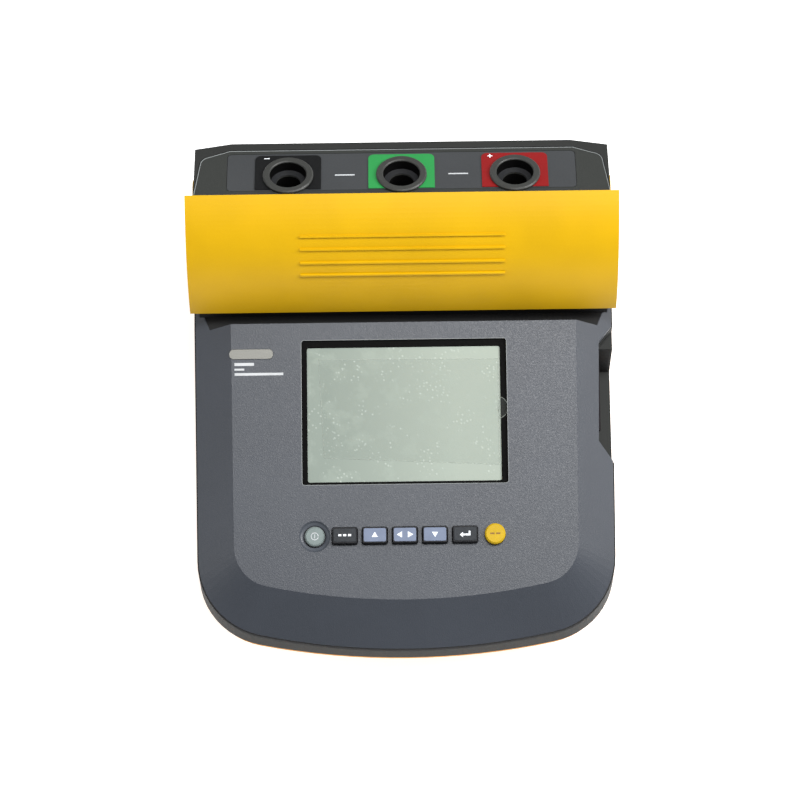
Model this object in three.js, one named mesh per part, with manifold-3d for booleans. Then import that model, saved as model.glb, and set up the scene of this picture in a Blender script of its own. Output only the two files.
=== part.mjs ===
// Insulation resistance tester: a case with a sloped key panel, a terminal deck and a swinging hood.
// Millimetres, X to the right, Y to the rear, Z up, resting on z = 0.
import * as THREE from "three";
import { mergeVertices } from "three/addons/utils/BufferGeometryUtils.js";
import Module from "manifold-3d";

const wasm = await Module();
wasm.setup();

// ---- Driving dimensions ----
const GAP = 0.3; // clearance between neighbouring pieces
const WALL = 3; // moulding wall
const FRONT_Y = -166;
const SLOPE = THREE.MathUtils.degToRad(13); // panel and seam
const SEAM_Z = 38.77; // seam height at the front edge
const PANEL_Z = 52.77; // panel plane's height above the front edge
const HALF_WIDTH = 121;
const NOSE_RADIUS = 410;
const CORNER = { x: 75.6, y: -114.1, r: 44 };
const SIDE_REAR_Y = 17; // where the hood's cheeks begin
const BEVEL = { inset: 21, drop: 13.1 };
const BODY_HALF = 118; // half-width between the hood's cheeks
const SEAM_GAP = 1.6;
const SKIRT_Z = 26; // lower case above, base tray below
const TRAY = { bottom: 5, bend: 20, inset: 15, step: 1.6 };
const REAR = { y: 107.3, lean: 0.122, chamferX: 97, chamferY: 4 }; // rear wall's top edge
const HOOD = { y: 100, z: 88, outer: 82, inner: 79, from: 7.5, to: 63.2, half: 122.2, hub: 9 };
const DRUM_R = 77.5;
const DECK = { y: 66, z: 152.5, fall: 0.35, drumEnd: 59.1, seamX: 98, seamY: 101.6, corner: 6, inset: 3.4 };
const COVER_INSET = 0.8; // the lower case stands out from the cover by this much
const TROUGH = { y0: 13.8, y1: 22.3, z: 86 }; // gap behind the panel, under the hood's lower edge
const SOCKET = { y: 81, pitch: 64.4, collar: 14.4, body: 12.6, mouth: 10.5, bore: 7 };
const PLATE = { half: 99, y0: 70.6, y1: 98.8, labelY: 97.2 };
const LABEL_HALF = 18.8;
const DISPLAY = { half: 58.9, y0: -78, y1: 4, corner: 1.6, glassCorner: 1.4 };
const FRAME = { left: 3, right: 3.6, bottom: 1.6, top: 4 }; // display frame's widths
const KEYS = { x: -0.7, y: -106.7, pitch: 17.07 };
const NOTCH = [[140, 16], [121, 16], [112.4, 5.2], [111.2, -52], [119.8, -62], [140, -62]];
const BAY = { floor: 40, shelf: 72, shelfY: 4.9 }; // side bay: its floor, and the shelf at its rear end
const HANDLE = { half: 66, y: 164, z0: 9, z1: 21, bar: 12, earTop: 50 };
const INLET = { x: 84, z: 117, wide: 26, tall: 15, y0: 24, y1: 46, pin: 5.6 };

// ---- Helpers ----
const rad = THREE.MathUtils.degToRad;
const deckZ = (y) => DECK.z + (DECK.y - y) * DECK.fall;
const DECK_TILT = -Math.atan(DECK.fall);
const along = (y) => (y - FRONT_Y) / Math.cos(SLOPE); // distance up the panel from the front edge
const onPanel = new THREE.Matrix4()
  .makeTranslation(0, FRONT_Y, PANEL_Z)
  .multiply(new THREE.Matrix4().makeRotationX(SLOPE));
const SEAM_DROP = (PANEL_Z - SEAM_Z) * Math.cos(SLOPE); // panel to seam, square to the panel
const DRAFT = 0.415; // the front edge leans back by this much of its height
const onSeam = (y) => along(y) - SEAM_DROP * Math.tan(SLOPE);
const leaningPanel = onPanel.clone()
  .multiply(new THREE.Matrix4().makeTranslation(0, DRAFT * SEAM_DROP, 0))
  .multiply(new THREE.Matrix4().makeShear(0, 0, 0, 0, 0, DRAFT));

function solid(geometry) {
  geometry.deleteAttribute("normal");
  geometry.deleteAttribute("uv");
  const merged = mergeVertices(geometry, 1e-4);
  const made = new wasm.Manifold(
    new wasm.Mesh({
      numProp: 3,
      vertProperties: merged.attributes.position.array,
      triVerts: new Uint32Array(merged.index.array),
    }),
  );
  if (made.volume() <= 0) throw new Error("a solid faces inwards");
  return made;
}

const join = (first, ...rest) => rest.reduce((sum, piece) => sum.add(piece), first);
const cut = (first, ...rest) => rest.reduce((sum, piece) => sum.subtract(piece), first);
const onBothSides = (points) => [points, points.map(([x, y]) => [-x, y]).reverse()];
const shapeOf = (points) => new THREE.Shape(points.map(([a, b]) => new THREE.Vector2(a, b)));

function box(x0, x1, y0, y1, z0, z1, matrix = new THREE.Matrix4()) {
  const made = new THREE.BoxGeometry(x1 - x0, y1 - y0, z1 - z0);
  made.translate((x0 + x1) / 2, (y0 + y1) / 2, (z0 + z1) / 2);
  return solid(made.applyMatrix4(matrix));
}

// A plan outline raised from z0 to z1.
function prismZ(shape, z0, z1, matrix = new THREE.Matrix4(), bevel = {}) {
  const made = new THREE.ExtrudeGeometry(shape, {
    depth: z1 - z0, bevelEnabled: false, curveSegments: 4, ...bevel,
  });
  return solid(made.translate(0, 0, z0).applyMatrix4(matrix));
}

// A side outline in (y, z) carried across from x0 to x1.
const ACROSS = new THREE.Matrix4().makeBasis(
  new THREE.Vector3(0, 1, 0), new THREE.Vector3(0, 0, 1), new THREE.Vector3(1, 0, 0),
);
function prismX(points, x0, x1) {
  const made = new THREE.ExtrudeGeometry(shapeOf(points), { depth: x1 - x0, bevelEnabled: false });
  return solid(made.translate(0, 0, x0).applyMatrix4(ACROSS));
}

function roundedRect(x0, x1, y0, y1, r) {
  const s = new THREE.Shape();
  s.moveTo(x0 + r, y0);
  s.lineTo(x1 - r, y0);
  s.absarc(x1 - r, y0 + r, r, -Math.PI / 2, 0);
  s.lineTo(x1, y1 - r);
  s.absarc(x1 - r, y1 - r, r, 0, Math.PI / 2);
  s.lineTo(x0 + r, y1);
  s.absarc(x0 + r, y1 - r, r, Math.PI / 2, Math.PI);
  s.lineTo(x0, y0 + r);
  s.absarc(x0 + r, y0 + r, r, Math.PI, 1.5 * Math.PI);
  return s;
}

// A turned piece: profile of [radius, height], bottom to top, about its own upright axis.
function turned(profile, matrix = new THREE.Matrix4(), segments = 24) {
  const points = profile.map(([r, z]) => new THREE.Vector2(r, z));
  const made = new THREE.LatheGeometry(points, segments).rotateX(Math.PI / 2);
  return solid(made.applyMatrix4(matrix));
}

const cylinder = (r, z0, z1, matrix, segments = 20) =>
  turned([[0, z0], [r, z0], [r, z1], [0, z1]], matrix, segments);
const at = (x, y, z) => new THREE.Matrix4().makeTranslation(x, y, z);
const onPanelAt = (x, y) => onPanel.clone().multiply(at(x, along(y), 0));
const onDeckAt = (x, y) => at(x, y, deckZ(y)).multiply(new THREE.Matrix4().makeRotationX(DECK_TILT));

// Points of a circle about the hood's axis; the angle rises from the front.
function arc(r, from, to, steps) {
  return Array.from({ length: steps + 1 }, (_, i) => {
    const a = rad(from + ((to - from) * i) / steps);
    return [HOOD.y - r * Math.cos(a), HOOD.z + r * Math.sin(a)];
  });
}

// ---- Case outlines ----
// The plan outline, moved inwards by t; stretch maps y to the outline's own axis.
function planOutline(t, rearY, stretch = (y) => y) {
  const half = [];
  const noseEnd = Math.asin(CORNER.x / (NOSE_RADIUS - CORNER.r));
  for (let i = 0; i <= 8; i++) {
    const a = (noseEnd * i) / 8;
    const r = NOSE_RADIUS - t;
    half.push([r * Math.sin(a), FRONT_Y + NOSE_RADIUS - r * Math.cos(a)]);
  }
  for (let i = 1; i <= 12; i++) {
    const a = -Math.PI / 2 + noseEnd + ((Math.PI / 2 - noseEnd) * i) / 12;
    const r = CORNER.r - t;
    half.push([CORNER.x + r * Math.cos(a), CORNER.y + r * Math.sin(a)]);
  }
  half.push([HALF_WIDTH - t, SIDE_REAR_Y], [HALF_WIDTH - t, rearY]);
  const left = half.slice(1).reverse().map(([x, y]) => [-x, y]);
  return shapeOf([...half, ...left].map(([x, y]) => [x, stretch(y)]));
}

const rearTop = deckZ(REAR.y);
const rearY = (z) => REAR.y + (rearTop - z) * REAR.lean;
const seamZ = (y) => SEAM_Z + (y - FRONT_Y) * Math.tan(SLOPE);

// The hump between the hood's cheeks, moved inwards by t.
const hump = (t) => prismX(
  [[HOOD.y - DRUM_R + t, 60], ...arc(DRUM_R - t, 6, DECK.drumEnd, 20),
    [REAR.y - t, deckZ(REAR.y) - t], [rearY(60) - t, 60]],
  t - BODY_HALF, BODY_HALF - t,
);

// The sloped front half with its bevelled edge, moved inwards by t.
const slab = (t) => prismZ(
  planOutline(t + COVER_INSET, 102 - t, onSeam), -t - SEAM_DROP, -t - BEVEL.drop, leaningPanel,
  {
    bevelEnabled: true, bevelThickness: BEVEL.drop, bevelSize: BEVEL.inset - t / 2,
    bevelOffset: t / 2 - BEVEL.inset, bevelSegments: 1,
  },
);

// The upright wall below the seam, moved inwards by t, from z0 up.
const lowerBlock = (t, z0) => prismZ(planOutline(t, 130), z0, 125).intersect(prismX(
  [[-200, 0], [rearY(0) - t, 0], [rearY(125) - t, 125], [96, seamZ(96)], [-200, seamZ(-200)]], -150, 150,
));

// The room the hood's cheeks sweep beside the body, widened by grow.
const cheekRoom = (side, grow) => prismX(
  [[HOOD.y + 10 + grow, HOOD.z + 1], [HOOD.y + 8 + grow, HOOD.z - 8 - grow], [HOOD.y, HOOD.z - 10.5 - grow],
    [HOOD.y - 8 - grow, HOOD.z - 8 - grow], [HOOD.y - 10.7 - grow, HOOD.z - 1 - grow],
    ...arc(83.5 + grow, 5.5 - grow / 2, 130, 16)],
  side > 0 ? BODY_HALF - grow : -150, side > 0 ? 150 : grow - BODY_HALF,
);

// The side bay for the optical window, with a shelf at its rear end; grow thickens it for its wall.
const bayPlan = (grow) => shapeOf(NOTCH.map(([x, y], i) => [x - grow, y + (i < 3 ? grow : -grow)]));
const bay = (grow) => prismZ(bayPlan(grow), BAY.floor - grow, 130).intersect(prismX([
  [-200, 0], [BAY.shelfY + grow, 0], [BAY.shelfY + grow, BAY.shelf - grow], [200, BAY.shelf - grow],
  [200, 200], [-200, 200],
], -150, 150));
const trough = (grow) => box(-150, 150, TROUGH.y0 - grow, TROUGH.y1 + grow, TROUGH.z - grow, 110);

const leaning = new THREE.Matrix4().makeShear(0, 0, 0, 0, 0, -REAR.lean);
const rearCorners = (grow) => onBothSides([
  [REAR.chamferX, rearY(0) - grow], [130, rearY(0) - REAR.chamferY * 1.5 - grow], [130, rearY(0) + 9],
  [REAR.chamferX, rearY(0) + 9],
]).map((points) => prismZ(shapeOf(points), 0, 170, leaning));

// The deck's plan, grown by t: rounded rear corners, and a rear edge that bends forward near its ends.
function deckPlan(t) {
  const r = DECK.corner;
  const x = BODY_HALF - DECK.inset - r;
  const half = [[150, 30], [150, 66], [BODY_HALF - 0.1 + t, 66]];
  for (let i = 0; i <= 5; i++) {
    const a = rad(16 * i);
    half.push([x + (r + t) * Math.cos(a), 97 - r + (r + t) * Math.sin(a)]);
  }
  half.push([DECK.seamX, DECK.seamY + t]);
  return shapeOf([...half, ...half.slice().reverse().map(([px, y]) => [-px, y])]);
}

// Everything under the seam: the sloped plane lowered by drop, and at the rear all that is outside the deck's
// plan grown by gap.
function underSeam(drop, gap) {
  const region = prismX(
    [[-220, 0], [200, 0], [200, seamZ(200) - drop], [-220, seamZ(-220) - drop]], -150, 150,
  );
  return join(region, box(-150, 150, 60, 200, 87, 200).subtract(prismZ(deckPlan(gap), 80, 210)));
}

const outer = cut(
  join(slab(0), hump(0), lowerBlock(0, SKIRT_Z + GAP)),
  cheekRoom(1, 0), cheekRoom(-1, 0), ...rearCorners(0), bay(0), trough(0),
);
const inner = cut(
  join(slab(WALL), hump(WALL), lowerBlock(WALL, 10)),
  cheekRoom(1, WALL), cheekRoom(-1, WALL), ...rearCorners(WALL), bay(WALL), trough(WALL),
);
const shell = cut(outer, inner);

// ---- Openings in the case ----
const keyX = (slot) => KEYS.x + slot * KEYS.pitch;
const displayV = [along(DISPLAY.y0), along(DISPLAY.y1)];
const displayWindow = prismZ(
  roundedRect(-DISPLAY.half, DISPLAY.half, ...displayV, DISPLAY.corner), -30, 20, onPanel,
);
const RECT_KEY = { half: 7.25, tall: 4.85 };
const KEY_HOLE = 0.25;
const rectKeyShape = (grow) => roundedRect(
  -RECT_KEY.half - grow, RECT_KEY.half + grow, -RECT_KEY.tall - grow, RECT_KEY.tall + grow, 1.2 + grow,
);
const keyPlan = [
  { name: "key_power", slot: -3, round: 5.6, top: 0.6 },
  { name: "key_function", slot: -2, top: 3.8 },
  { name: "key_up", slot: -1, top: 3.8 },
  { name: "key_sideways", slot: 0, top: 3.8 },
  { name: "key_down", slot: 1, top: 3.8 },
  { name: "key_enter", slot: 2, top: 3.8 },
  { name: "key_test", slot: 3, round: 5.85, top: 3.8 },
];
const keyHoles = keyPlan.map(({ slot, round }) => {
  const place = onPanelAt(keyX(slot), KEYS.y);
  return round
    ? cylinder(round + KEY_HOLE, -8, 8, place)
    : prismZ(rectKeyShape(KEY_HOLE), -8, 8, place);
});
const powerDish = turned(
  [[0, -1.7], [6.4, -1.7], [8, -1], [8.95, 0], [8.95, 3], [0, 3]], onPanelAt(keyX(-3), KEYS.y), 40,
);
const boardPosts = [-64, 64].map((x) => cylinder(3, -9.3, -2, onPanelAt(x, KEYS.y)));

const socketX = [-SOCKET.pitch, 0, SOCKET.pitch];
const socketHoles = (r) => socketX.map((x) => cylinder(r, -40, 8, onDeckAt(x, SOCKET.y), 40));
const plateMatrix = onDeckAt(0, DECK.y);
const onPlate = (y) => (y - DECK.y) / Math.cos(DECK_TILT);
const plateShape = (grow) => roundedRect(
  -PLATE.half - grow, PLATE.half + grow, onPlate(PLATE.y0) - grow, onPlate(PLATE.y1) + grow, 2.6 + grow,
);
const plateRecess = prismZ(plateShape(GAP), -1.1, 6, plateMatrix);

const [halfWide, halfTall] = [INLET.wide / 2, INLET.tall / 2];
const inletBlock = (grow, y0, y1) => box(
  INLET.x - halfWide - grow, INLET.x + halfWide + grow, y0, y1,
  INLET.z - halfTall - grow, INLET.z + halfTall + grow,
);
const inletHole = inletBlock(GAP, 10, 36);
const sideways = (side) => new THREE.Matrix4().makeRotationY((side * Math.PI) / 2);
const pinMatrix = (side) => at(0, HOOD.y, HOOD.z).multiply(sideways(side));
const pinHole = (side) => cylinder(4.3, 100, 130, pinMatrix(side));
const WINDOW = { y0: -46, y1: -1, below: 3, above: 9.6, x: 111.2 }; // heights measured down from the seam
const windowBox = (grow, x0, x1) => box(
  x0, x1, along(WINDOW.y0) - grow, along(WINDOW.y1) + grow,
  -SEAM_DROP - WINDOW.above - grow, -SEAM_DROP - WINDOW.below + grow, onPanel,
);
const badgePlace = onPanelAt(-87.5, -3.5);
const badgeShape = (grow) => roundedRect(-12.5 - grow, 12.5 + grow, -2.8 - grow, 2.8 + grow, 2.4 + grow);
const badgeRecess = prismZ(badgeShape(0.25), -0.8, 4, badgePlace);

// ---- Pieces ----
const group = new THREE.Group();
const colours = {
  case_grey: 0x686c74, tray_yellow: 0xe0a018, hood_yellow: 0xeeb414, black: 0x1c1d1f, dark: 0x35373a,
  red: 0xc4281e, green: 0x3c8c46, brass: 0xc8a050, glass: 0xaeb8ae, key_dark: 0x45474b, key_blue: 0x6a7788,
  key_pale: 0xa9b3a6, key_yellow: 0xe6b422, board: 0x2c6a3a, steel: 0xb9bcc0, rubber: 0x222222, cell: 0x3d5878,
};

function piece(name, body, colour) {
  const mesh = body.getMesh();
  const geometry = new THREE.BufferGeometry();
  geometry.setAttribute("position", new THREE.BufferAttribute(mesh.vertProperties, 3));
  geometry.setIndex(new THREE.BufferAttribute(mesh.triVerts, 1));
  const made = new THREE.Mesh(geometry, new THREE.MeshStandardMaterial({ color: colours[colour] }));
  made.name = name;
  group.add(made);
}

// Case.
piece("front_cover", cut(
  join(shell, ...boardPosts), underSeam(-0.02, 0), displayWindow, ...keyHoles, powerDish,
  ...socketHoles(SOCKET.body + GAP), plateRecess, inletHole, badgeRecess,
), "case_grey");

const CASE_SCREWS = [[-103, -95], [103, -95], [-103, 84], [103, 84]];
const screwBosses = CASE_SCREWS.map(([x, y]) => join(
  cylinder(5.5, SKIRT_Z + GAP, 54, at(x, y, 0)),
  box(...(x > 0 ? [x, x + 15.5] : [x - 15.5, x]), y - 2, y + 2, SKIRT_Z + GAP, 54),
));
const upScrewHole = ([x, y], r, z0, z1) => cylinder(r, z0, z1, at(x, y, 0));
const backwards = new THREE.Matrix4().makeRotationX(-Math.PI / 2);
const HANDLE_SCREW = { z: 40, r: 2 };
const handleScrewPlace = (x) => at(x, 0, HANDLE_SCREW.z).multiply(backwards);
const handleX = [HANDLE.bar / 2 - HANDLE.half, HANDLE.half - HANDLE.bar / 2];
piece("lower_case", cut(
  join(shell, ...screwBosses).intersect(underSeam(SEAM_GAP, 0.6)),
  pinHole(1), pinHole(-1), windowBox(GAP, WINDOW.x, 120),
  ...CASE_SCREWS.map((p) => upScrewHole(p, 2.3, 20, 60)),
  ...handleX.map((x) => cylinder(HANDLE_SCREW.r + GAP, 100, 140, handleScrewPlace(x))),
), "case_grey");

const sealBand = (t) => prismZ(planOutline(t, 52, onSeam), -SEAM_DROP - 1.3, -SEAM_DROP - GAP, leaningPanel);
piece("case_seal", cut(
  sealBand(0.1), prismZ(planOutline(2.6, 70, onSeam), -30, 30, leaningPanel), box(90, 150, -62, 90, 0, 200),
), "black");

// Base tray with its battery opening, screw bosses and board pillars.
const BATTERY = { x: 62, y: 25, z0: 7.2, z1: 34 };
const HATCH = { x: 77, y: 36, z0: 5.3, z1: 6.9, screwX: 71 };
const TRAY_FLOOR = 8;
const PILLARS = [[-86, -20], [86, -20], [-86, 70], [86, 70]];
const FEET = [[-84, -118], [84, -118], [-92, 88], [92, 88]];
const trayBody = (t, top) => prismZ(planOutline(t + TRAY.step, 119 - t), TRAY.bend, 40, undefined, {
  bevelEnabled: true, bevelThickness: TRAY.bend - TRAY.bottom, bevelSize: TRAY.inset,
  bevelOffset: -TRAY.inset, bevelSegments: 1,
}).intersect(box(-150, 150, -200, 150, t > 0 ? TRAY_FLOOR : 0, top));
piece("base_tray", cut(
  join(
    cut(trayBody(0, SKIRT_Z), trayBody(WALL, 60)),
    ...PILLARS.map(([x, y]) => cylinder(4, 7, 51.7, at(x, y, 0))),
    ...CASE_SCREWS.map(([x, y]) => cylinder(6.5, 7, SKIRT_Z, at(x, y, 0))),
    ...[-1, 1].map((side) => cylinder(4, 7, 14, at(side * HATCH.screwX, 0, 0))),
  ),
  box(-HATCH.x - GAP, HATCH.x + GAP, -HATCH.y - GAP, HATCH.y + GAP, 0, 7.2),
  box(-BATTERY.x - 1, BATTERY.x + 1, -BATTERY.y - 1, BATTERY.y + 1, 0, 20),
  ...[-1, 1].map((side) => cylinder(1.9, 0, 20, at(side * HATCH.screwX, 0, 0))),
  ...CASE_SCREWS.map((p) => upScrewHole(p, 2.3, 0, 60)),
  ...CASE_SCREWS.map((p) => upScrewHole(p, 4.3, 0, 9)),
  ...FEET.map((p) => upScrewHole(p, 3.3, 0, 10)),
), "tray_yellow");

piece("battery_hatch", cut(
  box(-HATCH.x, HATCH.x, -HATCH.y, HATCH.y, HATCH.z0, HATCH.z1),
  ...[-1, 1].map((side) => turned([[0, 4], [3.4, 4], [3.4, 5.9], [1.9, 5.9], [1.9, 9], [0, 9]],
    at(side * HATCH.screwX, 0, 0))),
), "tray_yellow");
[-1, 1].forEach((side, i) => piece(`hatch_screw_${i + 1}`, turned(
  [[0, 4.8], [3, 4.8], [3, 5.6], [1.6, 5.6], [1.6, 12], [0, 12]], at(side * HATCH.screwX, 0, 0),
), "steel"));
piece("battery_pack", box(-BATTERY.x, BATTERY.x, -BATTERY.y, BATTERY.y, BATTERY.z0, BATTERY.z1), "cell");
CASE_SCREWS.forEach(([x, y], i) => piece(`case_screw_${i + 1}`, turned(
  [[0, 6.5], [4, 6.5], [4, 8.7], [2, 8.7], [2, 50], [0, 50]], at(x, y, 0),
), "steel"));
FEET.forEach(([x, y], i) => piece(`foot_${i + 1}`, turned(
  [[0, 0], [7.5, 0], [8.5, 1], [8.5, 4.7], [3, 4.7], [3, 9.5], [0, 9.5]], at(x, y, 0),
), "rubber"));

// Terminal deck.
const labelShape = (x) => roundedRect(
  x - LABEL_HALF, x + LABEL_HALF, onPlate(PLATE.y0) - 8, onPlate(PLATE.labelY), 3.4,
);
const labelCut = box(-150, 150, -60, onPlate(PLATE.y0) + 0.5, -5, 5, plateMatrix);
piece("terminal_plate", cut(
  prismZ(plateShape(0), -0.8, -0.05, plateMatrix), ...socketHoles(SOCKET.body + GAP),
), "dark");
const TERMINALS = [["left", "black"], ["centre", "green"], ["right", "red"]];
TERMINALS.forEach(([side, colour], i) => {
  const place = onDeckAt(socketX[i], SOCKET.y);
  piece(`terminal_label_${side}`, cut(
    prismZ(labelShape(socketX[i]), 0.15, 0.5, plateMatrix), labelCut, ...socketHoles(SOCKET.body + GAP),
  ), colour);
  piece(`terminal_socket_${side}`, turned([
    [0, -25], [SOCKET.body, -25], [SOCKET.body, 0.8], [SOCKET.collar, 0.8], [SOCKET.collar, 1.6],
    [SOCKET.collar - 0.7, 2.3], [SOCKET.mouth + 0.5, 2.3], [SOCKET.mouth, 1.8], [SOCKET.mouth, -5],
    [SOCKET.bore, -5.6], [SOCKET.bore, -22], [0, -22],
  ], place, 32), "dark");
  piece(`terminal_contact_${side}`, turned(
    [[2, -21.7], [2, -18.9], [3.1, -18.3], [3.9, -18.9], [3.9, -21.7], [2, -21.7]].reverse(), place,
  ), "brass");
});

// Hood: a curved shutter with two cheeks, hung on two pins.
const RIBS = { half: 58, angles: [29.3, 34.9, 40.8, 46.2], rise: 1.2, wide: 1.5 };
const shutter = prismX(
  [...arc(HOOD.outer, HOOD.from, HOOD.to, 28), ...arc(HOOD.inner, HOOD.from, HOOD.to, 28).reverse()].reverse(),
  -HOOD.half, HOOD.half,
);
const cheekSide = [[HOOD.y, HOOD.z], ...arc(HOOD.outer, HOOD.from, HOOD.to, 28)].reverse();
const cheek = (side) => {
  const [x0, x1] = side > 0 ? [HOOD.half - WALL, HOOD.half] : [-HOOD.half, WALL - HOOD.half];
  const [h0, h1] = [HOOD.half - WALL, HOOD.half];
  return cut(join(prismX(cheekSide, x0, x1), cylinder(HOOD.hub, h0, h1, pinMatrix(side))), pinHole(side));
};
const grip = (angle) => {
  const spread = (RIBS.wide / HOOD.outer) * 28.6;
  return prismX([
    ...arc(HOOD.outer + RIBS.rise, angle - spread * 0.6, angle + spread * 0.6, 1),
    ...arc(HOOD.outer - 1, angle - spread, angle + spread, 1).reverse(),
  ].reverse(), -RIBS.half, RIBS.half);
};
piece("hood", join(shutter, cheek(1), cheek(-1), ...RIBS.angles.map(grip)), "hood_yellow");
[["left", -1], ["right", 1]].forEach(([name, side]) => piece(`hood_pin_${name}`, turned(
  [[0, 111], [5, 111], [5, 114.6], [4, 114.6], [4, 121.2], [0, 121.2]], pinMatrix(side),
), "steel"));

// Display.
const glassV = [displayV[0] + FRAME.bottom, displayV[1] - FRAME.top];
const glassX = [FRAME.left - DISPLAY.half, DISPLAY.half - FRAME.right];
const inset = ([a, b], t) => [a + t, b - t];
const glassPlan = (t) => roundedRect(...inset(glassX, t), ...inset(glassV, t), DISPLAY.glassCorner - t);
piece("display_frame", cut(
  join(
    prismZ(roundedRect(
      ...inset([-DISPLAY.half, DISPLAY.half], GAP), ...inset(displayV, GAP), DISPLAY.corner - GAP,
    ), -4.8, -1.3, onPanel),
    box(-DISPLAY.half - 3, DISPLAY.half + 3, ...inset(displayV, -3), -4.8, -WALL - GAP, onPanel),
  ),
  prismZ(glassPlan(0), -9, 3, onPanel),
), "black");
piece("display_lens", prismZ(glassPlan(GAP), -3.8, -2.2, onPanel), "glass");
piece("display_module", prismZ(glassPlan(GAP), -10.8, -4.1, onPanel), "board");
piece("name_badge", prismZ(badgeShape(0), -0.5, 0.3, badgePlace), "steel");

// Keys and the board beneath them.
const keyColours = ["key_pale", "key_dark", "key_blue", "key_blue", "key_blue", "key_dark", "key_yellow"];
const keyEdge = {
  bevelEnabled: true, bevelThickness: 1.2, bevelSize: 0.5, bevelOffset: -0.5, bevelSegments: 1,
};
keyPlan.forEach(({ name, slot, round, top }, i) => {
  const place = onPanelAt(keyX(slot), KEYS.y);
  const post = cylinder(2.5, -6.8, -4, place, 12);
  const cap = round
    ? turned([[0, -4], [round, -4], [round, top - 0.8], [round - 0.8, top], [0, top]], place, 32)
    : prismZ(rectKeyShape(0), -WALL - 1.2, top - 1.2, place, keyEdge);
  const flange = round
    ? cylinder(round + 1, -4.5, -WALL - GAP, place)
    : prismZ(rectKeyShape(1), -4.5, -WALL - GAP, place);
  piece(name, join(cap, flange, post), keyColours[i]);
});
const keyV = along(KEYS.y);
piece("key_board", join(
  box(-68, 68, keyV - 8, keyV + 8, -11.2, -9.6, onPanel),
  ...keyPlan.map(({ slot }) => cylinder(3, -10, -8.3, onPanelAt(keyX(slot), KEYS.y), 16)),
), "board");

// Electronics and charging inlet.
piece("main_board", box(-95, 95, -38, 92, 52, 53.6), "board");
piece("high_voltage_module", box(-78, -20, 12, 70, 53.9, 82), "black");
piece("transformer", join(box(0, 52, 42, 80, 53.9, 92), box(8, 44, 36, 86, 60, 86)), "dark");
piece("charger_module", box(66, 90, 30, 80, 53.9, 75), "steel");
const forwards = new THREE.Matrix4().makeRotationX(Math.PI / 2);
const drumDisc = prismX(arc(DRUM_R - 0.5, 0, 345, 60).reverse(), 0, 150);
piece("charging_inlet", join(
  cut(
    join(inletBlock(0, INLET.y0, INLET.y1), inletBlock(2.5, 37, 39)).intersect(drumDisc),
    inletBlock(-2, INLET.y0 - 5, INLET.y1 - 2),
  ),
  ...[-INLET.pin, INLET.pin].map((x) => cylinder(
    1.2, -INLET.y1 + 1, -INLET.y0 - 9, at(INLET.x + x, 0, INLET.z).multiply(forwards), 16,
  )),
), "black");
piece("optical_window", windowBox(0, WINDOW.x + GAP, 112.9), "black");

// Carry handle on the rear wall.
const wallFace = prismX([[-50, -20], [rearY(-20) + GAP, -20], [rearY(90) + GAP, 90], [-50, 90]], -150, 150);
const ear = (x) => box(
  x - HANDLE.bar / 2, x + HANDLE.bar / 2, 100, rearY(HANDLE.z0) + 8, HANDLE.z0, HANDLE.earTop,
);
const hoop = (grow, z0, z1) => cut(
  prismZ(roundedRect(-HANDLE.half, HANDLE.half, 60, HANDLE.y + grow, 20), z0, z1),
  prismZ(roundedRect(
    HANDLE.bar - HANDLE.half, HANDLE.half - HANDLE.bar, 50, HANDLE.y - HANDLE.bar - grow, 10,
  ), z0 - 1, z1 + 1),
);
piece("carry_handle", cut(
  join(hoop(0, HANDLE.z0, HANDLE.z1), ...handleX.map(ear)),
  wallFace,
  ...handleX.map((x) => cylinder(HANDLE_SCREW.r + GAP, 100, 140, handleScrewPlace(x))),
  ...handleX.map((x) => cylinder(4.3, rearY(HANDLE_SCREW.z) + 6, 180, handleScrewPlace(x))),
), "dark");
piece("handle_grip", hoop(2, HANDLE.z0 - 2, HANDLE.z1 + 2)
  .subtract(hoop(GAP, HANDLE.z0 - GAP, HANDLE.z1 + GAP))
  .intersect(box(-40, 40, 130, 170, 0, 60)), "rubber");
handleX.forEach((x, i) => {
  const face = rearY(HANDLE_SCREW.z) + 6 + GAP;
  piece(`handle_screw_${i + 1}`, turned([
    [0, face - 14], [HANDLE_SCREW.r, face - 14], [HANDLE_SCREW.r, face], [4, face], [4, face + 2.4],
    [0, face + 2.4],
  ], handleScrewPlace(x)), "steel");
});

export default group;
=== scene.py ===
"""Looks of the insulation resistance tester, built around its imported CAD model.

The frame is in metres, +Z up, front towards -Y. Shapes made here are given in millimetres.
"""

import math

import bmesh
import bpy
from mathutils import Matrix, Vector


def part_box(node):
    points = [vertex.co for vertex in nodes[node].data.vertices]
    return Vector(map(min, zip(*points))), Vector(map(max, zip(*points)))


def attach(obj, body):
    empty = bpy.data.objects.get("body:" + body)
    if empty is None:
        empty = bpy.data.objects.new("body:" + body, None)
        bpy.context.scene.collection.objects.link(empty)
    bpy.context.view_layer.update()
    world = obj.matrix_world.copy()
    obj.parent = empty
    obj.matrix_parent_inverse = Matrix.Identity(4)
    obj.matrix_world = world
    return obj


MM = 0.001
CREASE = math.radians(32)  # edges sharper than this stay creased
SLOPE = math.radians(13)  # panel
DECK_FALL = math.atan(0.35)  # terminal deck, falling to the rear
KEYS = ("key_power", "key_function", "key_up", "key_sideways", "key_down", "key_enter", "key_test")
REAR_SHADE_SPAN = (0.060, 0.066)  # the case blends to its darker rear tone, painted shade on the deck, between these places along Y, in metres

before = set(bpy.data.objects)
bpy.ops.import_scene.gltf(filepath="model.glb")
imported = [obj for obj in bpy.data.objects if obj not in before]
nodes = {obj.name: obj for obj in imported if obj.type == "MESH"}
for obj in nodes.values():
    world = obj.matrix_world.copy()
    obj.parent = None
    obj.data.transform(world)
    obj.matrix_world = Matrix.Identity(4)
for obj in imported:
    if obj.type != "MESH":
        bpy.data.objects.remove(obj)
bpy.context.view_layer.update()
scene = bpy.context.scene


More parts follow.
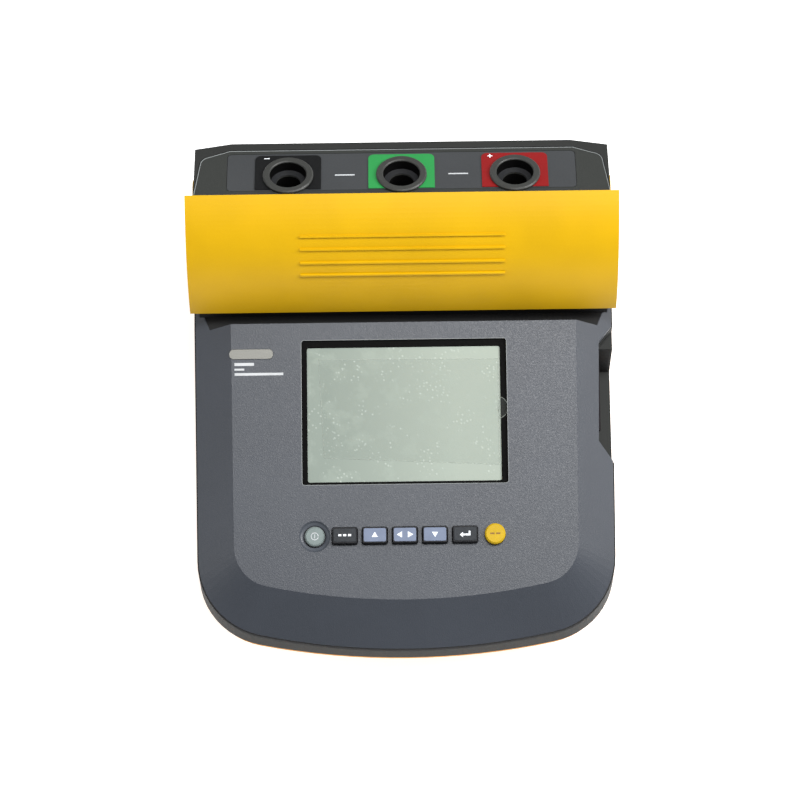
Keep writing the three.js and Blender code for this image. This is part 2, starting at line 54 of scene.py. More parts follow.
# ---- Materials ----
def srgb(red, green, blue):
    """A colour given as 0 to 255 sRGB, as linear RGBA."""
    def linear(value):
        c = value / 255
        return c / 12.92 if c <= 0.04045 else ((c + 0.055) / 1.055) ** 2.4
    return (linear(red), linear(green), linear(blue), 1)


class Nodes:
    """A short way to make and join a material's nodes."""

    def __init__(self, name):
        self.material = bpy.data.materials.new(name)
        self.material.use_nodes = True
        self.tree = self.material.node_tree
        self.shader = self.tree.nodes["Principled BSDF"]
        self.place = self.tree.nodes.new("ShaderNodeTexCoord").outputs["Object"]

    def node(self, kind, inputs=None, **settings):
        made = self.tree.nodes.new(kind)
        for key, value in settings.items():
            setattr(made, key, value)
        for key, value in (inputs or {}).items():
            if isinstance(value, bpy.types.NodeSocket):
                self.tree.links.new(value, made.inputs[key])
            else:
                made.inputs[key].default_value = value
        return made

    def noise(self, size, detail=2.0, stretch=(1, 1, 1)):
        """Noise with features of about this size in metres."""
        mapped = self.node("ShaderNodeMapping", {"Vector": self.place, "Scale": stretch})
        return self.node(
            "ShaderNodeTexNoise",
            {"Vector": mapped.outputs[0], "Scale": 1 / size, "Detail": detail, "Roughness": 0.55},
        ).outputs["Fac"]

    def ramp(self, value, low, high, start=0.35, end=0.65):
        made = self.node("ShaderNodeMapRange", {
            "Value": value, "From Min": start, "From Max": end, "To Min": low, "To Max": high,
        })
        return made.outputs[0]

    def times(self, value, factor):
        return self.node("ShaderNodeMath", {0: value, 1: factor}, operation="MULTIPLY").outputs[0]

    def mix(self, factor, first, second):
        made = self.node("ShaderNodeMix", data_type="RGBA")
        for index, value in ((0, factor), (6, first), (7, second)):
            if isinstance(value, bpy.types.NodeSocket):
                self.tree.links.new(value, made.inputs[index])
            else:
                made.inputs[index].default_value = value
        return made.outputs[2]

    def bump(self, height, distance, strength=1.0, below=None):
        inputs = {"Height": height, "Distance": distance, "Strength": strength}
        if below is not None:
            inputs["Normal"] = below
        return self.node("ShaderNodeBump", inputs).outputs[0]

    def set(self, **values):
        for key, value in values.items():
            socket = self.shader.inputs[key.replace("_", " ")]
            if isinstance(value, bpy.types.NodeSocket):
                self.tree.links.new(value, socket)
            else:
                socket.default_value = value
        return self.material


def shade(colour, factor):
    return tuple(min(1, c * factor) for c in colour[:3]) + (1,)


def moulded(name, colour, rough=0.5, grain=0.00045, depth=0.00003, sparkle=0.0, gloss=0.5, rear=None):
    """Moulded plastic with fine grain and slight colour drift, and another tone at the rear if given, used
    as painted shade.
    """
    n = Nodes(name)
    fine = n.noise(grain, 3)
    broad = n.noise(0.045, 2)
    tone = n.mix(n.ramp(broad, 0, 1), shade(colour, 0.95), shade(colour, 1.05))
    tone = n.mix(n.ramp(fine, 0, 0.5, 0.45, 0.75), tone, shade(colour, 1.0 + sparkle))
    # painted shade: the rear tone darkens the terminal deck
    if rear:
        lengthwise = n.node("ShaderNodeSeparateXYZ", {0: n.place}).outputs[1]
        tone = n.mix(n.ramp(lengthwise, 0, 1, *REAR_SHADE_SPAN), tone, rear)
    roughness = n.ramp(n.noise(grain * 1.3), rough - 0.06, rough + 0.06)
    return n.set(
        Base_Color=tone, Roughness=roughness, Normal=n.bump(fine, depth, 0.6),
        Specular_IOR_Level=gloss,
    )


def metal(name, colour, rough=0.28, brushed=(1, 1, 12)):
    n = Nodes(name)
    lines = n.noise(0.0012, 3, brushed)
    tone = n.mix(n.ramp(lines, 0, 1), shade(colour, 0.82), shade(colour, 1.08))
    return n.set(
        Base_Color=tone, Metallic=1.0, Roughness=n.ramp(lines, rough - 0.08, rough + 0.1),
        Normal=n.bump(lines, 0.00002, 0.5),
    )


def hood_plastic():
    """Yellow hood: satin, with fine pale glints."""
    colour = srgb(196, 153, 1)
    n = Nodes("hood_yellow")
    fine = n.noise(0.0005, 3)
    broad = n.noise(0.05, 2)
    tone = n.mix(n.ramp(broad, 0, 1), shade(colour, 0.95), shade(colour, 1.05))
    tone = n.mix(n.ramp(fine, 0, 0.3, 0.5, 0.75), tone, srgb(208, 168, 6))
    return n.set(
        Base_Color=tone, Roughness=n.ramp(n.noise(0.0011), 0.36, 0.44),
        Normal=n.bump(fine, 0.00002, 0.5), Specular_IOR_Level=0.26,
    )


def board_green():
    n = Nodes("board_green")
    tracks = n.node("ShaderNodeTexBrick", {
        "Vector": n.place, "Scale": 160.0, "Mortar Size": 0.03,
        "Color1": srgb(28, 92, 48), "Color2": srgb(34, 104, 56), "Mortar": srgb(60, 132, 78),
    }).outputs["Color"]
    return n.set(Base_Color=tracks, Roughness=n.ramp(n.noise(0.003), 0.3, 0.45))


def display_glass():
    """Display under its cover: grey-green, paler to the right as painted light, with cloudy patches and
    bubbles.
    """
    n = Nodes("display_glass")
    parts = n.node("ShaderNodeSeparateXYZ", {"Vector": n.place}).outputs
    # painted light: the glass is paler to the right
    base = n.mix(n.ramp(parts["X"], 0, 1, -0.045, 0.03), srgb(123, 133, 125), srgb(145, 154, 144))
    patches = n.ramp(n.noise(0.014, 4), 0, 1, 0.52, 0.62)
    tone = n.mix(n.times(patches, 0.3), base, srgb(150, 160, 151))
    cells = n.node("ShaderNodeTexVoronoi", {"Vector": n.place, "Scale": 420.0, "Randomness": 1.0})
    dots = n.ramp(cells.outputs["Distance"], 1, 0, 0.12, 0.34)
    groups = n.ramp(n.noise(0.016, 3), 0, 1, 0.5, 0.58)
    bubbles = n.times(dots, groups)
    tone = n.mix(n.times(bubbles, 0.5), tone, srgb(178, 187, 179))
    wavy = n.bump(patches, 0.0003, 0.12)
    return n.set(
        Base_Color=tone, Roughness=n.ramp(patches, 0.5, 0.58),
        Normal=n.bump(bubbles, 0.0002, 0.4, wavy), Specular_IOR_Level=0.2,
    )


def film(name, colour, alpha):
    """Clear protective film, seen by its tint; its pale edge beads are painted highlights."""
    n = Nodes(name)
    streaks = n.noise(0.006, 3, (1, 1, 3))
    return n.set(
        Base_Color=n.mix(streaks, shade(colour, 0.94), shade(colour, 1.06)),
        Roughness=n.ramp(streaks, 0.46, 0.56), Alpha=alpha, Specular_IOR_Level=0.3,
    )


def soft_rubber(name, colour, rough=0.6):
    n = Nodes(name)
    fine = n.noise(0.0006, 3)
    tone = n.mix(n.ramp(n.noise(0.006), 0, 1), shade(colour, 0.94), shade(colour, 1.06))
    return n.set(
        Base_Color=tone, Roughness=n.ramp(fine, rough - 0.08, rough + 0.08),
        Normal=n.bump(fine, 0.00003, 0.5), Specular_IOR_Level=0.3,
    )


def ribbed_rubber(name, colour):
    """Rubber with ribs across the X axis, lighter on their crests and darker between them as painted
    shade.
    """
    n = Nodes(name)
    ribs = n.node(
        "ShaderNodeTexWave", {"Vector": n.place, "Scale": 70.0, "Distortion": 0.0}, bands_direction="X",
    ).outputs["Fac"]
    tone = n.mix(ribs, shade(colour, 0.7), shade(colour, 1.25))
    return n.set(Base_Color=tone, Roughness=0.7, Normal=n.bump(ribs, 0.0006, 0.8))


# the blue tint of CASE is a painted bluish reflection; the case's own grey is neutral
CASE = srgb(53, 57, 64)
M = {
    "case": moulded("case_grey", CASE, 0.42, 0.0007, 0.00016, 0.1, gloss=0.36, rear=srgb(46, 48, 46)),
    "lower": moulded("lower_grey", srgb(44, 45, 44), 0.55, 0.0005, 0.00005, 0.2, gloss=0.1),
    "tray": moulded("tray_yellow", srgb(222, 150, 26), 0.5, 0.0006, 0.00005, 0.08),
    "hood": hood_plastic(),
    "plate": moulded("plate_grey", srgb(56, 58, 60), 0.5, 0.0008, 0.00002, 0.1, gloss=0.3),
    "label_black": moulded("label_black", srgb(14, 15, 16), 0.42, 0.001, 0.00001, 0.2, gloss=0.25),
    "label_green": moulded("label_green", srgb(42, 132, 68), 0.42, 0.001, 0.00001, 0.06, gloss=0.25),
    "label_red": moulded("label_red", srgb(124, 21, 22), 0.42, 0.001, 0.00001, 0.06, gloss=0.25),
    "socket": moulded("socket_grey", srgb(50, 51, 49), 0.46, 0.0007, 0.00003, 0.15, gloss=0.4),
    "black": moulded("black_plastic", srgb(26, 27, 29), 0.45, 0.0006, 0.00003, 0.3),
    # dish grey: lighter than the case's own grey, painted light
    "dish": moulded("dish_grey", srgb(68, 72, 79), 0.4, 0.004, 0.00001, 0.1, gloss=0.45),
    "jet": moulded("jet_plastic", srgb(6, 6, 6), 0.7, 0.0008, 0.00002, 0.2, gloss=0.06),
    # dark pieces in the trough and the side bay: painted shade
    "trough": moulded("painted_shade_grey", srgb(32, 32, 32), 0.6, 0.0008, 0.00002, 0.2, gloss=0.1),
    "seal": soft_rubber("seal_black", srgb(9, 9, 9)),
    "brass": metal("contact_brass", srgb(196, 158, 88)),
    "steel": metal("zinc_steel", srgb(176, 178, 180)),
    "badge": metal("badge_metal", srgb(112, 112, 108), 0.5, (1, 14, 1)),
    "board": board_green(),
    "glass": display_glass(),
    "film": film("clear_film", srgb(144, 155, 146), 0.05),
    "film_highlight": film("film_highlight", srgb(190, 198, 190), 0.35),
    "film_tab": film("film_tab", srgb(120, 126, 122), 0.04),
    "key_dark": soft_rubber("key_dark", srgb(32, 36, 41)),
    "key_skirt": soft_rubber("key_skirt", srgb(12, 13, 18)),
    "key_blue": soft_rubber("key_blue", srgb(105, 115, 136)),
    "key_pale": soft_rubber("key_pale", srgb(111, 122, 121)),
    "key_yellow": soft_rubber("key_yellow", srgb(178, 146, 4)),
    "white": soft_rubber("print_white", srgb(226, 230, 234), 0.5),
    "print_dark": soft_rubber("print_dark", srgb(120, 84, 12), 0.5),
    "print_grey": soft_rubber("print_grey", srgb(176, 179, 182), 0.5),
    "battery": moulded("battery_film", srgb(40, 70, 110), 0.35, 0.004, 0.00003, 0.1),
    "rubber": soft_rubber("black_rubber", srgb(30, 30, 31), 0.7),
    "grip": ribbed_rubber("grip_rubber", srgb(28, 28, 29)),
    # pale edge beads: painted highlights along rims and edges
    "edge": moulded("edge_highlight_grey", srgb(128, 132, 133), 0.5, 0.0006, 0.00002, 0.1),
    "blank": moulded("blank_film", srgb(150, 153, 156), 0.5, 0.001, 0.00001, 0.05),
    "window": moulded("infrared_window", srgb(20, 14, 17), 0.55, 0.004, 0.0, 0.1, gloss=0.1),
}


# ---- CAD nodes ----
def smooth(obj):
    obj.data.polygons.foreach_set("use_smooth", [True] * len(obj.data.polygons))
    obj.data.set_sharp_from_angle(angle=CREASE)
    return obj


def soften(obj, bevel, segments=2):
    made = obj.modifiers.new("edges", "BEVEL")
    made.width = bevel * MM
    made.segments = segments
    made.limit_method = "ANGLE"
    made.angle_limit = CREASE
    made.harden_normals = True


def dress(name, material, bevel=0.0, segments=2):
    """Gives a CAD node its material, smooth shading between creases, and softened edges."""
    obj = nodes[name]
    obj.data.materials.clear()
    obj.data.materials.append(M[material])
    smooth(obj)
    if bevel:
        soften(obj, bevel, segments)


DRESSES = {
    "front_cover": ("case", 0.5), "lower_case": ("lower", 0.4), "base_tray": ("tray", 0.5),
    "battery_hatch": ("tray", 0.25), "case_seal": ("seal", 0), "terminal_plate": ("plate", 0.1),
    "terminal_label_left": ("label_black", 0), "terminal_label_centre": ("label_green", 0),
    "terminal_label_right": ("label_red", 0), "hood": ("hood", 0.5), "display_frame": ("jet", 0.3),
    "display_lens": ("glass", 0.2), "display_module": ("board", 0), "key_board": ("board", 0),
    "main_board": ("board", 0), "high_voltage_module": ("black", 0.8), "transformer": ("black", 0.8),
    "charger_module": ("steel", 0.5), "battery_pack": ("battery", 2.0), "charging_inlet": ("black", 0.2),
    "optical_window": ("window", 0.3), "carry_handle": ("black", 1.6), "handle_grip": ("grip", 1.5),
    "name_badge": ("badge", 0.12), "hood_pin_left": ("steel", 0.2), "hood_pin_right": ("steel", 0.2),
}
for node, (material, bevel) in DRESSES.items():
    dress(node, material, bevel)
SIDES = ("left", "centre", "right")
for side in SIDES:
    dress(f"terminal_socket_{side}", "socket", 0.15)
    dress(f"terminal_contact_{side}", "brass")
for number in range(1, 5):
    dress(f"foot_{number}", "rubber", 0.4)
    dress(f"case_screw_{number}", "steel", 0.2)
for number in (1, 2):
    dress(f"hatch_screw_{number}", "steel", 0.2)
    dress(f"handle_screw_{number}", "steel", 0.2)
KEY_LOOKS = {"key_power": "key_pale", "key_test": "key_yellow"}
for node in KEYS:
    dress(node, KEY_LOOKS.get(node, "key_skirt"), 0.35, 3)


# ---- Building pieces ----
def add_object(name, data, material, body):
    obj = bpy.data.objects.new(name, data)
    scene.collection.objects.link(obj)
    data.materials.append(M[material])
    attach(obj, body)
    return obj


def add_piece(mesh, material, body, matrix=Matrix()):
    """Adds a mesh as a piece of the same name, moved by this matrix."""
    mesh.transform(matrix)
    return add_object(mesh.name, mesh, material, body)


def finished_mesh(bm, name):
    bmesh.ops.recalc_face_normals(bm, faces=bm.faces)
    mesh = bpy.data.meshes.new(name)
    bm.to_mesh(mesh)
    bm.free()
    return mesh


def slab_mesh(name, outlines, low, high):
    """Flat pieces with these outlines, in millimetres, between two heights."""
    bm = bmesh.new()
    for outline in outlines:
        base = bm.faces.new([bm.verts.new((x * MM, y * MM, low * MM)) for x, y in outline])
        made = bmesh.ops.extrude_face_region(bm, geom=[base], use_keep_orig=True)
        verts = [v for v in made["geom"] if isinstance(v, bmesh.types.BMVert)]
        bmesh.ops.translate(bm, vec=(0, 0, (high - low) * MM), verts=verts)
    return finished_mesh(bm, name)


def box_mesh(name, low, high):
    """A box between two corners, in millimetres."""
    return slab_mesh(name, [bar(low[0], high[0], low[1], high[1])], low[2], high[2])


def turned_mesh(name, profile, steps=48):
    """A closed profile of (radius, height) in millimetres, turned about its own axis."""
    bm = bmesh.new()
    rings = []
    for i in range(steps):
        turn = 2 * math.pi * i / steps
        across, deep = MM * math.cos(turn), MM * math.sin(turn)
        rings.append([bm.verts.new((r * across, r * deep, z * MM)) for r, z in profile])
    for i, ring in enumerate(rings):
        following = rings[(i + 1) % steps]
        for j in range(len(profile)):
            k = (j + 1) % len(profile)
            bm.faces.new((ring[j], following[j], following[k], ring[k]))
    bmesh.ops.remove_doubles(bm, verts=bm.verts, dist=1e-7)
    return finished_mesh(bm, name)


def rounded(x0, x1, y0, y1, r, steps=6):
    corners = ((x1 - r, y0 + r, -90), (x1 - r, y1 - r, 0), (x0 + r, y1 - r, 90), (x0 + r, y0 + r, 180))
    points = []
    for x, y, start in corners:
        for i in range(steps + 1):
            turn = math.radians(start + 90 * i / steps)
            points.append((x + r * math.cos(turn), y + r * math.sin(turn)))
    return points


def band(r0, r1, start, end, steps=24):
    """Part of a flat ring, between two angles in degrees."""
    turns = [math.radians(start + (end - start) * i / steps) for i in range(steps + 1)]
    outside = [(r1 * math.cos(t), r1 * math.sin(t)) for t in turns]
    inside = [(r0 * math.cos(t), r0 * math.sin(t)) for t in reversed(turns)]
    return outside + inside


def bar(x0, x1, y0, y1):
    return [(x0, y0), (x1, y0), (x1, y1), (x0, y1)]


def moved(outline, x=0.0, y=0.0, turn=0.0):
    c, s = math.cos(math.radians(turn)), math.sin(math.radians(turn))
    return [(x + px * c - py * s, y + px * s + py * c) for px, py in outline]


def plane_at(x, y, z, tilt):
    """A frame at this point, in millimetres, tilted about X."""
    return Matrix.Translation((x * MM, y * MM, z * MM)) @ Matrix.Rotation(tilt, 4, "X")


PANEL_Y, PANEL_Z = -165, 53  # a point of the panel's plane
DECK_Y, DECK_Z = 66, 152.5  # the terminal deck's front edge


def panel_at(x, y):
    return plane_at(x, y, PANEL_Z + (y - PANEL_Y) * math.tan(SLOPE), SLOPE)


def deck_at(x, y):
    return plane_at(x, y, DECK_Z + (DECK_Y - y) * math.tan(DECK_FALL), -DECK_FALL)


def middle(node):
    """The middle of a node's box, in millimetres."""
    low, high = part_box(node)
    return (low + high) / 2 / MM


# ---- Key faces and marks ----
KEY_Y = -106.7
KEY_TOP, POWER_TOP = 3.8, 0.6  # above the panel
FACE_RISE = 0.35  # a coloured face stands above its key by this much
TRIANGLE = [(-1.75, -1.25), (1.75, -1.25), (0, 1.75)]
ENTER = [(-3.0, -0.5), (-1.3, 1.0), (-1.3, 0.0), (2.0, 0.0), (2.0, 1.6), (3.0, 1.6), (3.0, -1.0),
         (-1.3, -1.0), (-1.3, -2.0)]
MARKS = {
    "key_power": [band(1.8, 2.2, 0, 350), bar(-0.22, 0.22, -1.1, 1.1)],
    "key_function": [bar(-3.6, -1.9, -0.6, 0.6), bar(-0.85, 0.85, -0.6, 0.6), bar(1.9, 3.6, -0.6, 0.6)],
    "key_up": [TRIANGLE],
    "key_sideways": [moved(TRIANGLE, -2.9, 0, 90), moved(TRIANGLE, 2.9, 0, -90)],
    "key_down": [moved(TRIANGLE, 0, 0, 180)],
    "key_enter": [ENTER],
    "key_test": [bar(-2.9, -0.4, -0.45, 0.45), bar(0.4, 2.9, -0.45, 0.45)],
}
MARK_LOOKS = {"key_power": "print_grey", "key_test": "print_dark"}
FACE_OUTLINE = rounded(-6.35, 6.35, -3.85, 3.85, 1.0)
FACES = {
    "key_function": "key_dark", "key_up": "key_blue", "key_sideways": "key_blue", "key_down": "key_blue",
    "key_enter": "key_dark",
}


def key_details(node):
    """The coloured face of a rectangular key, and every key's mark."""
    place = panel_at(middle(node).x, KEY_Y)
    top = POWER_TOP if node == "key_power" else KEY_TOP
    if node in FACES:
        face = slab_mesh(f"{node}_face", [FACE_OUTLINE], top - 0.2, top + FACE_RISE)
        soften(smooth(add_piece(face, FACES[node], node, place)), 0.3, 3)
        top += FACE_RISE
    marks = slab_mesh(f"{node}_mark", MARKS[node], top - 0.1, top + 0.05)
    add_piece(marks, MARK_LOOKS.get(node, "white"), node, place)


for key in KEYS:
    key_details(key)

POWER_RING = [(5.95, -1.72), (6.4, -1.6), (6.4, -1.82), (5.95, -1.95)]
# the dish's lighter grey is painted light; it is the same moulding as the panel
POWER_DISH = [(6.4, -1.66), (8.0, -0.94), (8.9, 0.03), (8.9, -0.2), (8.0, -1.15), (6.4, -1.85)]
for name, profile, look in (("power_ring", POWER_RING, "jet"), ("power_dish", POWER_DISH, "dish")):
    add_piece(turned_mesh(name, profile), look, "case", panel_at(middle("key_power").x, KEY_Y))


# ---- Display ----
LENS_TOP = -2.2  # below the panel
TAB_TOP = -1.2
PANEL_FRAME = plane_at(0, PANEL_Y, PANEL_Z, SLOPE)


def along_panel(y):
    return (y - PANEL_Y) / math.cos(SLOPE)


lens_low, lens_high = (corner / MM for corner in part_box("display_lens"))
low_v, high_v = along_panel(lens_low.y + 1), along_panel(lens_high.y - 1)
film_outline = [
    (lens_low.x + 9.4, low_v + 12.5), (lens_high.x - 1.2, low_v + 7.5),
    (lens_high.x - 1.0, high_v - 7.2), (lens_low.x + 6.6, high_v - 6.6),
]
film_mesh = slab_mesh("display_film", [film_outline], LENS_TOP + 0.03, LENS_TOP + 0.1)
add_piece(film_mesh, "film", "case", PANEL_FRAME)
TAB_STEPS = 24
tab_v = low_v + (high_v - low_v) * 0.53
tab_outline = [(x + 52.6, y + tab_v) for x, y in band(0.01, 6.6, -70, 70, TAB_STEPS)]
tab_mesh = slab_mesh("display_film_tab", [tab_outline], TAB_TOP - 0.06, TAB_TOP)
add_piece(tab_mesh, "film_tab", "case", PANEL_FRAME)


def wire(name, points, radius, material, cyclic=False):
    """A round bead on the case along these points, in metres."""
    curve = bpy.data.curves.new(name, "CURVE")
    curve.dimensions = "3D"
    curve.bevel_depth = radius * MM
    curve.bevel_resolution = 3
    curve.use_fill_caps = True
    spline = curve.splines.new("POLY")
    spline.points.add(len(points) - 1)
    for point, co in zip(spline.points, points):
        point.co = (*co, 1)
    spline.use_cyclic_u = cyclic
    add_object(name, curve, material, "case")


def over_panel(outline, z):
    return [PANEL_FRAME @ Vector((x * MM, y * MM, z * MM)) for x, y in outline]


# painted highlights: pale beads along the film's outline and its tab's arc
wire("display_film_highlight", over_panel(film_outline, LENS_TOP + 0.1), 0.16, "film_highlight", True)
tab_arc = tab_outline[:TAB_STEPS + 1]
wire("display_film_tab_highlight", over_panel(tab_arc, TAB_TOP), 0.14, "film_highlight")

FRAME_HALF, FRAME_Y = 58.9, (-78, 4)
recess = rounded(-FRAME_HALF, FRAME_HALF, along_panel(FRAME_Y[0]), along_panel(FRAME_Y[1]), 1.6)
# painted highlight: a pale bead round the display recess's rim
wire("display_recess_highlight", over_panel(recess, -0.1), 0.18, "edge", True)

# ---- Terminal marks ----
deck_sides = {side: middle(f"terminal_socket_{side}").x for side in SIDES}
LABEL_TOP = 0.5
MINUS = bar(-1.6, 1.6, -0.3, 0.3)
PLUS = [(-1.4, -0.3), (-0.3, -0.3), (-0.3, -1.4), (0.3, -1.4), (0.3, -0.3), (1.4, -0.3), (1.4, 0.3),
        (0.3, 0.3), (0.3, 1.4), (-0.3, 1.4), (-0.3, 0.3), (-1.4, 0.3)]
MARK_Y = 94.9
for side, mark, shift in (("left", MINUS, -12.2), ("right", PLUS, -13.8)):
    mesh = slab_mesh(f"terminal_mark_{side}", [mark], LABEL_TOP - 0.05, LABEL_TOP + 0.08)
    add_piece(mesh, "white", "case", deck_at(deck_sides[side] + shift, MARK_Y))

SOCKET_Y = 81
# painted shade: near-black sleeves in each socket's mouth and bore, and a dark ledge ring between
MOUTH_SHADE = [(10.42, -4.6), (10.42, 1.2), (10.2, 1.2), (10.2, -4.6)]
LEDGE_SHADE = [(6.98, -5.3), (10.2, -4.7), (10.2, -4.5), (6.98, -5.1)]
BORE_SHADE = [(6.96, -16.0), (6.96, -6.2), (6.7, -6.2), (6.7, -16.0)]
for side, x in deck_sides.items():
    for part, profile in (("mouth", MOUTH_SHADE), ("ledge", LEDGE_SHADE), ("bore", BORE_SHADE)):
        shade_sleeve = turned_mesh(f"socket_{part}_liner_{side}", profile)
        look = "black" if part == "ledge" else "jet"
        smooth(add_piece(shade_sleeve, look, "case", deck_at(x, SOCKET_Y)))

# Plain bars where the deck and panel carry print.
DECK_PRINT_Y = 82
for side, x in (("left", -32.2), ("right", 32.2)):
    mesh = slab_mesh(f"deck_print_{side}", [bar(x - 5.6, x + 5.6, -0.5, 0.5)], -0.1, 0.02)
    add_piece(mesh, "print_grey", "case", deck_at(0, DECK_PRINT_Y))
badge = middle("name_badge")
PRINT_LEFT = -9.6
PRINT_ROWS = ((-5.9, 11.2, 1.7), (-8.9, 5.6, 1.1), (-11.7, 28.0, 1.5))  # below the badge, length, height
rows = [bar(PRINT_LEFT, PRINT_LEFT + length, y - tall / 2, y + tall / 2) for y, length, tall in PRINT_ROWS]
panel_print = slab_mesh("panel_print", rows, -0.06, 0.04)
add_piece(panel_print, "print_grey", "case", panel_at(badge.x, badge.y))

# ---- Dark strip in the trough below the hood's lower edge: painted shade under the hood ----
TROUGH = {"half": 117.4, "front": 111.6, "rear": 114.8, "y0": 13.9, "y1": 22.2, "z": 86.02, "top": 96.0}
FLOOR_TOP = TROUGH["z"] + 0.3
floor_outline = [
    (-TROUGH["front"], TROUGH["y0"]), (TROUGH["front"], TROUGH["y0"]),
    (TROUGH["rear"], TROUGH["y1"]), (-TROUGH["rear"], TROUGH["y1"]),
]
trough_floor = slab_mesh("trough_floor", [floor_outline], TROUGH["z"], FLOOR_TOP)
add_piece(trough_floor, "trough", "case")
back_low = (-TROUGH["half"], TROUGH["y1"] - 0.25, FLOOR_TOP)
back_high = (TROUGH["half"], TROUGH["y1"], TROUGH["top"])
add_piece(box_mesh("trough_back", back_low, back_high), "trough", "case")

# ---- Dark face under the side bay's shelf: painted shade ----
BAY_FACE = ((112.8, 4.6, 41), (119.6, 5.0, 71.6))
add_piece(box_mesh("bay_face", *BAY_FACE), "trough", "case")


# ---- Pale line along the deck's edge, a painted highlight ----
EDGE_FRONT, EDGE_REAR = (117.6, 68), (98, 101.4)
EDGE_CORNER = {"x": 108.6, "y": 91, "r": 6}


def half_edge():
    """Half of the deck's outline from its front: side, rounded corner, bent rear edge."""
    turns = [math.radians(angle) for angle in range(0, 81, 16)]
    x, y, r = EDGE_CORNER.values()
    return [EDGE_FRONT, *[(x + r * math.cos(t), y + r * math.sin(t)) for t in turns], EDGE_REAR]


edge = half_edge() + [(-x, y) for x, y in reversed(half_edge())]
wire("deck_edge_highlight", [deck_at(x, y).translation for x, y in edge], 0.2, "edge")

# ---- Rear wall, handle, screws and underside ----
REAR_Y, REAR_TOP, REAR_LEAN = 107.3, 138.045, 0.122


def rear_at(x, z):
    """A frame on the rear wall: its X points left as seen from behind, its Y up, its Z outwards."""
    outward = Vector((0, 1, REAR_LEAN)).normalized()
    upward = Vector((0, -REAR_LEAN, 1)).normalized()
    place = Vector((x, REAR_Y + (REAR_TOP - z) * REAR_LEAN, z))
    turn = Matrix((Vector((-1, 0, 0)), upward, outward)).transposed().to_4x4()
    return Matrix.Translation(place * MM) @ turn


PLATE_PLACE, VENT_PLACE = rear_at(-52, 92), rear_at(54, 92)
PLATE_ROWS = ((8, 40), (2, 58), (-4, 30), (-10, 50))  # height on the plate, length
plate_rows = [bar(-32, -32 + length, y, y + 1.6) for y, length in PLATE_ROWS]
vents = [bar(-26, 26, y, y + 1.8) for y in range(-16, 17, 5)]
blank = slab_mesh("rear_blank", [rounded(-38, 38, -17, 17, 3)], 0.02, 0.2)
add_piece(blank, "blank", "case", PLATE_PLACE)
add_piece(slab_mesh("rear_blank_print", plate_rows, 0.2, 0.26), "lower", "case", PLATE_PLACE)
# painted shade: flat near-black bars stand for the rear vent slots
add_piece(slab_mesh("rear_vents", vents, 0.02, 0.12), "jet", "case", VENT_PLACE)

CROSS = [(-0.45, -1.9), (0.45, -1.9), (0.45, -0.45), (1.9, -0.45), (1.9, 0.45), (0.45, 0.45),
         (0.45, 1.9), (-0.45, 1.9), (-0.45, 0.45), (-1.9, 0.45), (-1.9, -0.45), (-0.45, -0.45)]
SCREW_TURNS = {
    "-Z": Matrix.Rotation(math.pi, 4, "X"), "+Y": Matrix.Rotation(-math.pi / 2, 4, "X"),
    "+X": Matrix.Rotation(math.pi / 2, 4, "Y"), "-X": Matrix.Rotation(-math.pi / 2, 4, "Y"),
}


def screw_mark(node, axis, face, scale=1.0):
    """A flat dark cross on a screw head whose flat face is at this coordinate, in millimetres; its
    darkness is painted shade standing for the cross recess.
    """
    outline = [(x * scale, y * scale) for x, y in CROSS]
    mesh = slab_mesh(f"{node}_recess", [outline], -0.04, 0.04)
    spot = middle(node)
    spot["XYZ".index(axis[1])] = face
    add_piece(mesh, "jet", "case", Matrix.Translation(spot * MM) @ SCREW_TURNS[axis])


CASE_SCREW_FACE, HATCH_SCREW_FACE, PIN_FACE = 6.5, 4.8, 121.2
for number in range(1, 5):
    screw_mark(f"case_screw_{number}", "-Z", CASE_SCREW_FACE)
for number in (1, 2):
    screw_mark(f"hatch_screw_{number}", "-Z", HATCH_SCREW_FACE, 0.8)
    screw_mark(f"handle_screw_{number}", "+Y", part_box(f"handle_screw_{number}")[1].y / MM)
screw_mark("hood_pin_right", "+X", PIN_FACE)
screw_mark("hood_pin_left", "-X", -PIN_FACE)

HATCH_Z, TRAY_Z = 5.3, 5.0
ribs = [bar(x - 9, x + 9, y - 0.6, y + 0.6) for x in (-46, 46) for y in (-6, -3, 0, 3, 6)]
add_piece(slab_mesh("hatch_ribs", ribs, HATCH_Z - 0.35, HATCH_Z + 0.05), "tray", "case")
slots = [bar(x - 0.9, x + 0.9, 52, 78) for x in range(-30, 31, 6)]
# painted shade: flat near-black bars stand for the tray's vent slots
add_piece(slab_mesh("tray_vents", slots, TRAY_Z - 0.06, TRAY_Z + 0.02), "jet", "case")

INLET_X, INLET_Z, PIN_PITCH, PIN_BACK_Y = 84, 117, 5.6, 43
PIN_SLEEVE = [(0, -1.0), (1.28, -1.0), (1.28, 9.6), (0, 9.6)]
for name, x in (("left", INLET_X - PIN_PITCH), ("right", INLET_X + PIN_PITCH)):
    sleeve = turned_mesh(f"inlet_pin_{name}", PIN_SLEEVE, 20)
    smooth(add_piece(sleeve, "steel", "case", plane_at(x, PIN_BACK_Y, INLET_Z, math.pi / 2)))

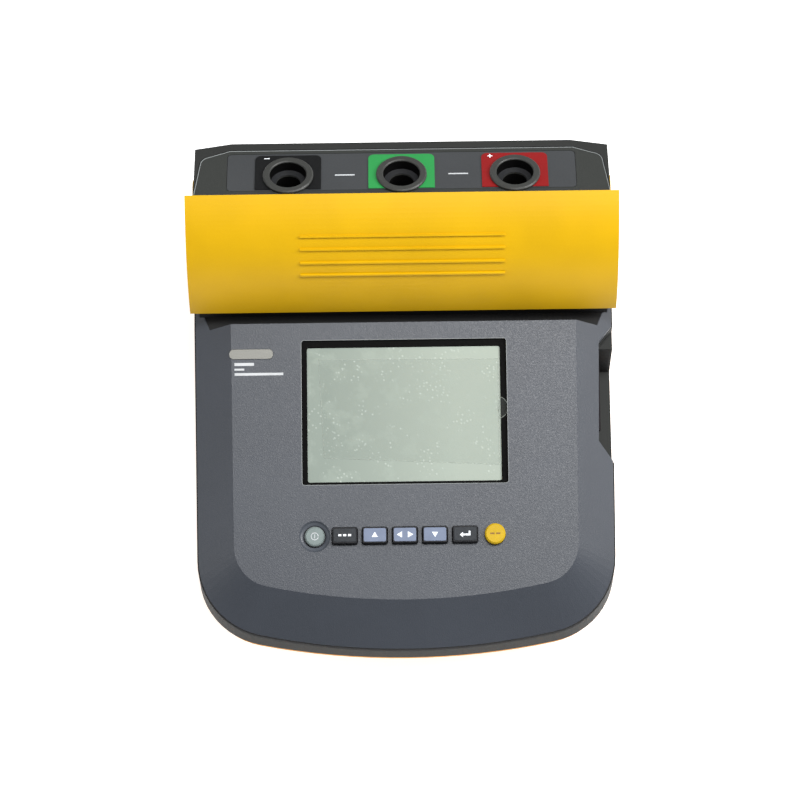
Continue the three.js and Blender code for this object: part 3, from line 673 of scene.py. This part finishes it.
# ---- Stage, light and camera ----
SPAN = 6  # half the floor's side
floor = bpy.data.meshes.new("floor")
floor.from_pydata([(x, y, 0) for x, y in bar(-SPAN, SPAN, -SPAN, SPAN)], [], [(0, 1, 2, 3)])
floor_object = bpy.data.objects.new("floor", floor)
scene.collection.objects.link(floor_object)
floor_look = Nodes("floor_white")
floor.materials.append(floor_look.set(
    Base_Color=(0.6, 0.6, 0.6, 1), Roughness=0.8, Emission_Color=(1, 1, 1, 1), Emission_Strength=0.8,
))

world = bpy.data.worlds.new("world")
scene.world = world
world.use_nodes = True
background = world.node_tree.nodes["Background"].inputs
background["Color"].default_value = (1, 1, 1, 1)
background["Strength"].default_value = 0.27


def area_light(name, place, aim, size, power):
    light = bpy.data.lights.new(name, "AREA")
    light.shape = "DISK"
    light.size = size
    light.energy = power
    obj = bpy.data.objects.new(name, light)
    obj.location = place
    obj.rotation_euler = (Vector(aim) - Vector(place)).to_track_quat("-Z", "Y").to_euler()
    scene.collection.objects.link(obj)


LIGHTS = (  # name, place, aim, size, power
    ("key_light", (0.30, 0.10, 2.2), (0, 0, 0.08), 0.8, 40),
    ("right_light", (1.35, 0.07, 1.25), (0, 0, 0.05), 0.8, 28),
    ("left_light", (-1.5, -0.2, 0.9), (0, 0, 0.05), 0.8, 5.5),
    ("hood_light", (0.35, -1.05, 1.9), (0, 0.05, 0.12), 0.5, 6),
)
for light in LIGHTS:
    area_light(*light)

ELEVATION = math.radians(66.74)
DISTANCE = 1.9065
AIM = Vector((-0.0025, -0.02108, 0.062))
ROLL = math.radians(-0.75)
camera_data = bpy.data.cameras.new("camera")
camera_data.lens = 148.1
camera_data.sensor_width = 36
camera = bpy.data.objects.new("camera", camera_data)
camera.location = AIM + DISTANCE * Vector((0, -math.cos(ELEVATION), math.sin(ELEVATION)))
facing = Matrix.Rotation(math.pi / 2 - ELEVATION, 4, "X") @ Matrix.Rotation(ROLL, 4, "Z")
camera.rotation_euler = facing.to_euler()
scene.collection.objects.link(camera)
scene.camera = camera
scene.view_settings.view_transform = "Standard"
